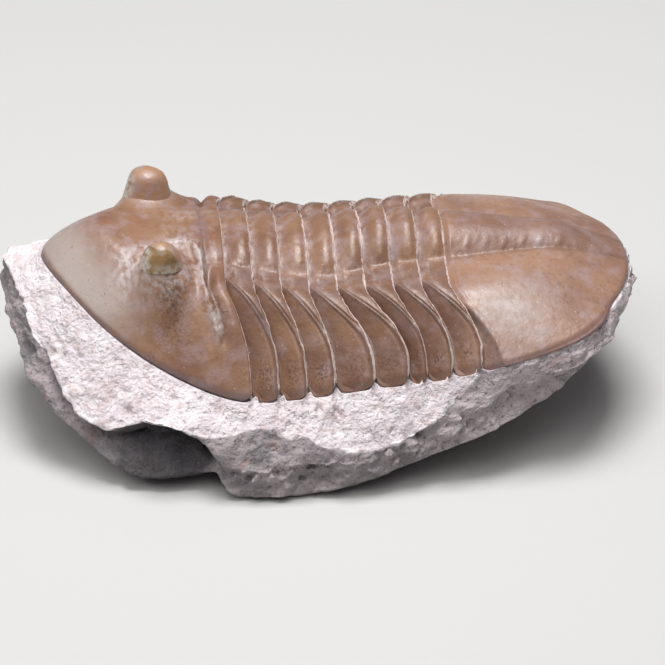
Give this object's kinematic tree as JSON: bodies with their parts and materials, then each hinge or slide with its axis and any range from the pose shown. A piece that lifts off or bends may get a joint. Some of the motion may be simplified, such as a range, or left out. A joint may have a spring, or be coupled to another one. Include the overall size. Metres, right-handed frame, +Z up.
{
  "type": "trilobite fossil",
  "caption": "Trilobite fossil: a caramel calcite shell with stalked eyes and overlapping body plates, lying on an irregular block of pale limestone.",
  "frame": {"origin": "a point of the flat base under the middle of the thorax, on the table", "axes": "+X from head to tail, +Y to the animal's right, +Z up"},
  "size_m": [0.0858, 0.0542, 0.0307],
  "materials": {
    "limestone": "chiselled chalky limestone, matt, crumbly ledge and broken grey sides",
    "cephalon_shell": "calcite shell, semi-gloss, caramel with a pale grey front",
    "thorax_shell": "calcite shell, semi-gloss, caramel with darker facets and chalky joints",
    "pygidium_shell": "calcite shell, semi-gloss, smooth caramel",
    "eye": "calcite lens surface, olive brown, glossy"
  },
  "bodies": {
    "root": {"matrix": "limestone", "cephalon": "cephalon_shell", "left_eye": "eye", "right_eye": "eye", "thoracic_segment_1": "thorax_shell", "thoracic_segment_2": "thorax_shell", "thoracic_segment_3": "thorax_shell", "thoracic_segment_4": "thorax_shell", "thoracic_segment_5": "thorax_shell", "thoracic_segment_6": "thorax_shell", "thoracic_segment_7": "thorax_shell", "thoracic_segment_8": "thorax_shell", "pygidium": "pygidium_shell"}
  },
  "joints": []
}
